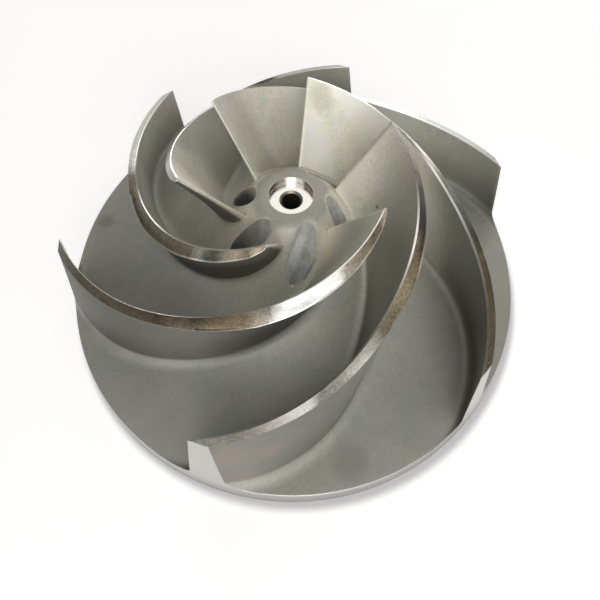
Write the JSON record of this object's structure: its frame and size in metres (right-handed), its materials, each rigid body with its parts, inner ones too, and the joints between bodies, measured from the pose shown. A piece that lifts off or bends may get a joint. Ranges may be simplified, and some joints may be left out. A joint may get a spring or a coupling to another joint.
{
  "type": "semi-open mixed-flow pump impeller",
  "caption": "Cast stainless pump impeller with twisted backward-curved vanes on a back plate, open at the front, with a counterbored hub and slanted balance holes.",
  "frame": {"origin": "centre of the back plate's rear face, on the axis of rotation, at the lowest point", "axes": "+Z along the axis of rotation, from the back plate towards the inlet; +Y away from the picture's viewer, +X to the viewer's right"},
  "size_m": [0.3044, 0.3044, 0.1125],
  "materials": {
    "cast_stainless_steel": "blasted as-cast stainless steel, with turned vane edges, rim and hub seat"
  },
  "bodies": {
    "root": {"impeller_casting": "cast_stainless_steel"}
  },
  "joints": []
}
